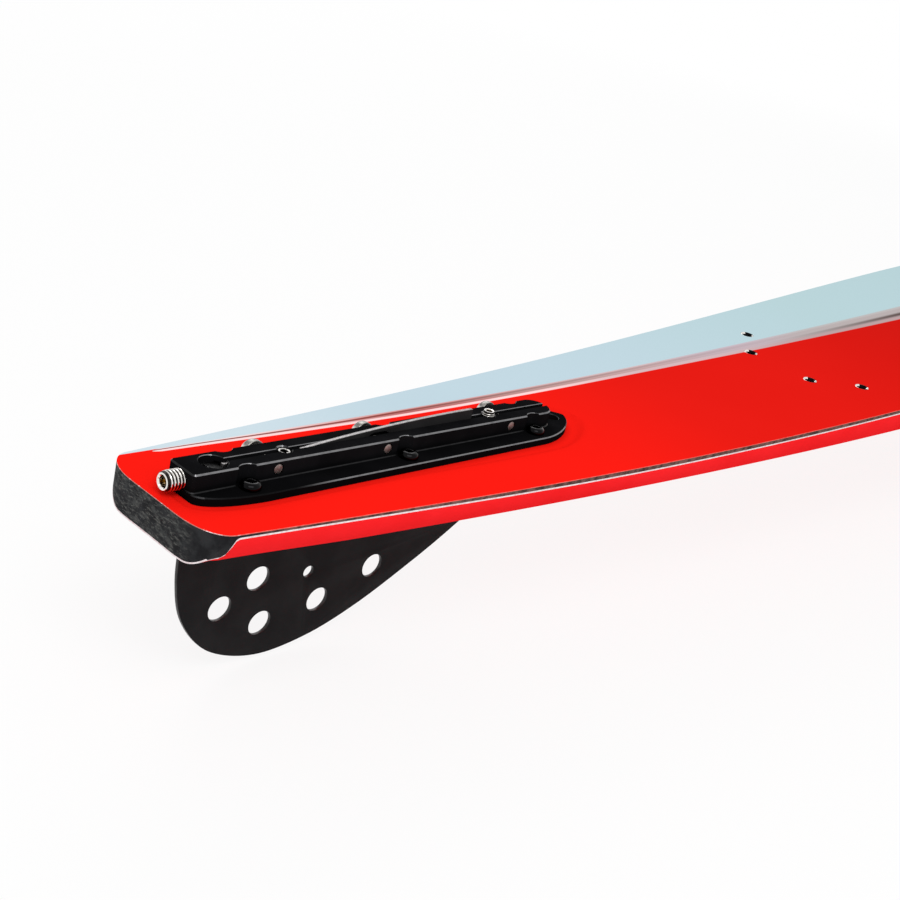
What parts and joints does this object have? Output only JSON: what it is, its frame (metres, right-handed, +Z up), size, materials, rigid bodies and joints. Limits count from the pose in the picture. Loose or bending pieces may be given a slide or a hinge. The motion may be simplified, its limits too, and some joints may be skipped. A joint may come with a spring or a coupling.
{
  "type": "slalom water ski",
  "caption": "Slalom water ski with a tapered tail, carbon-black core, red shell, threaded binding inserts and a drilled fin held in an adjustable metal fin block.",
  "frame": {"origin": "below the middle of the ski, at the level of the fin's lowest point", "axes": "+X from the tail towards the tip, +Z up from the deck; the ski is symmetric across Y except for its screw heads"},
  "size_m": [1.701, 0.1728, 0.1872],
  "materials": {
    "core": "rough moulded carbon and foam",
    "deck": "semi-gloss printed top sheet",
    "base": "semi-gloss base sheet with a white edge",
    "anodised": "black anodised, satin, bright edges",
    "black_steel": "black oxide",
    "steel": "stainless, machined",
    "insert_brass": "turned"
  },
  "bodies": {
    "ski": {"base_sheet": "base", "binding_insert_1_left": "steel", "binding_insert_1_right": "steel", "binding_insert_2_left": "steel", "binding_insert_2_right": "steel", "binding_insert_3_left": "steel", "binding_insert_3_right": "steel", "binding_insert_4_left": "steel", "binding_insert_4_right": "steel", "binding_insert_5_left": "steel", "binding_insert_5_right": "steel", "binding_insert_6_left": "steel", "binding_insert_6_right": "steel", "binding_insert_7_left": "steel", "binding_insert_7_right": "steel", "binding_insert_8_left": "steel", "binding_insert_8_right": "steel", "block_insert_front_left": "insert_brass", "block_insert_front_right": "insert_brass", "block_insert_middle_left": "insert_brass", "block_insert_middle_right": "insert_brass", "block_insert_rear_left": "insert_brass", "block_insert_rear_right": "insert_brass", "clamp_screw_front": "steel", "clamp_screw_middle": "steel", "clamp_screw_rear": "steel", "core": "core", "fin_block": "anodised", "flange_screw_front_left": "black_steel", "flange_screw_front_right": "black_steel", "flange_screw_middle_left": "black_steel", "flange_screw_middle_right": "black_steel", "flange_screw_rear_left": "black_steel", "flange_screw_rear_right": "black_steel", "top_sheet": "deck"},
    "fin_carriage": {"length_yoke": "anodised", "yoke_pin": "steel"},
    "fin_blade": {"fin": "anodised"},
    "length_stud": {"length_screw": "steel"},
    "rear_shoe": {"depth_shoe_rear": "anodised"},
    "front_shoe": {"depth_shoe_front": "anodised"},
    "rear_depth_screw": {"depth_screw_rear": "steel"},
    "front_depth_screw": {"depth_screw_front": "steel"}
  },
  "joints": [
    {"name": "fin_length", "type": "slide", "parent": "ski", "child": "fin_carriage", "axis": [1, 0, 0], "range_m": [-0.002, 0.002]},
    {"name": "fin_depth", "type": "slide", "parent": "fin_carriage", "child": "fin_blade", "axis": [0, 0, 1], "range_m": [-0.0015, 0.0015]},
    {"name": "length_screw_turn", "type": "hinge", "parent": "fin_carriage", "child": "length_stud", "pos_m": [-0.8417, 0, 0.07987], "axis": [1, 0, 0], "range_deg": [-577, 577]},
    {"name": "rear_shoe_slide", "type": "slide", "parent": "ski", "child": "rear_shoe", "axis": [0, 0, 1], "range_m": [-0.0015, 0.0015]},
    {"name": "front_shoe_slide", "type": "slide", "parent": "ski", "child": "front_shoe", "axis": [0, 0, 1], "range_m": [-0.0015, 0.0015]},
    {"name": "rear_depth_turn", "type": "hinge", "parent": "rear_shoe", "child": "rear_depth_screw", "pos_m": [-0.7995, 0, 0.07987], "axis": [0, 0, 1], "range_deg": [-676, 676]},
    {"name": "front_depth_turn", "type": "hinge", "parent": "front_shoe", "child": "front_depth_screw", "pos_m": [-0.6957, 0, 0.07987], "axis": [0, 0, 1], "range_deg": [-676, 676]}
  ],
  "couplings": [
    {"joint": "length_screw_turn", "follows": "fin_length", "rad_per_m": 5026.5},
    {"joint": "rear_shoe_slide", "follows": "fin_depth", "ratio": 1},
    {"joint": "front_shoe_slide", "follows": "fin_depth", "ratio": 1},
    {"joint": "rear_depth_turn", "follows": "fin_depth", "rad_per_m": 7854},
    {"joint": "front_depth_turn", "follows": "fin_depth", "rad_per_m": 7854}
  ]
}
